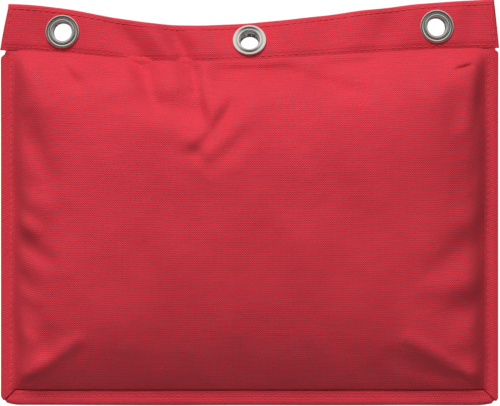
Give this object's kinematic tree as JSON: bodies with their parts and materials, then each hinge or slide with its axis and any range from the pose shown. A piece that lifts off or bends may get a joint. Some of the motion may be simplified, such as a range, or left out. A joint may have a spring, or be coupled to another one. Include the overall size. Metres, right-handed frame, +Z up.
{
  "type": "fire blanket",
  "caption": "Folded fire blanket with pull tabs in a soft wall pouch that hangs on eyelets and opens along its lower edge.",
  "frame": {"origin": "centre of the middle eyelet's hole, brought back to the plane of the pouch's flat back", "axes": "+X along the pouch's width, to the right as seen from the front; +Y towards the wall, out of the flat back; +Z up"},
  "size_m": [0.3366, 0.0486, 0.2728],
  "materials": {
    "pouch_fabric": "red coated polyester, plain weave, soft sheen",
    "thread": "red polyester sewing thread",
    "tape": "dark red hook-and-loop tape",
    "nickel": "polished nickel plate",
    "glass_cloth": "off-white woven glass fibre",
    "webbing": "black polyester webbing"
  },
  "bodies": {
    "pouch": {"header_band": "pouch_fabric", "front_panel": "pouch_fabric", "back_panel": "pouch_fabric", "loop_tape": "tape", "eyelet_left": "nickel", "eyelet_centre": "nickel", "eyelet_right": "nickel", "eyelet_washer_left": "nickel", "eyelet_washer_centre": "nickel", "eyelet_washer_right": "nickel", "header_top_needle_thread": "thread", "header_top_bobbin_thread": "thread", "header_seam_needle_thread": "thread", "header_seam_bobbin_thread": "thread", "header_left_needle_thread": "thread", "header_left_bobbin_thread": "thread", "header_right_needle_thread": "thread", "header_right_bobbin_thread": "thread", "left_seam_needle_thread": "thread", "left_seam_bobbin_thread": "thread", "right_seam_needle_thread": "thread", "right_seam_bobbin_thread": "thread", "back_lip_bobbin_thread": "thread"},
    "front_lip": {"front_lip": "pouch_fabric", "hook_tape": "tape", "front_lip_needle_thread": "thread"},
    "blanket": {"blanket": "glass_cloth"},
    "pull_tab_left": {"pull_tab_left": "webbing"},
    "pull_tab_right": {"pull_tab_right": "webbing"}
  },
  "joints": [
    {"name": "front_lip_peel", "type": "hinge", "parent": "pouch", "child": "front_lip", "pos_m": [0, -0.00495, -0.2344], "axis": [-1, 0, 0], "range_deg": [0, 110]},
    {"name": "blanket_slide", "type": "slide", "parent": "pouch", "child": "blanket", "axis": [0, 0, -1], "range_m": [0, 0.25], "deforming": ["front_panel", "front_lip", "hook_tape", "front_lip_needle_thread"]},
    {"name": "pull_tab_left_swing", "type": "hinge", "parent": "blanket", "child": "pull_tab_left", "pos_m": [-0.085, -0.01231, -0.22384], "axis": [1, 0, 0], "range_deg": [0, 155]},
    {"name": "pull_tab_right_swing", "type": "hinge", "parent": "blanket", "child": "pull_tab_right", "pos_m": [0.085, -0.01217, -0.22384], "axis": [1, 0, 0], "range_deg": [0, 155]}
  ],
  "couplings": [
    {"joint": "pull_tab_left_swing", "follows": "blanket_slide", "rad_per_m": 10.8},
    {"joint": "pull_tab_right_swing", "follows": "blanket_slide", "rad_per_m": 10.8}
  ]
}
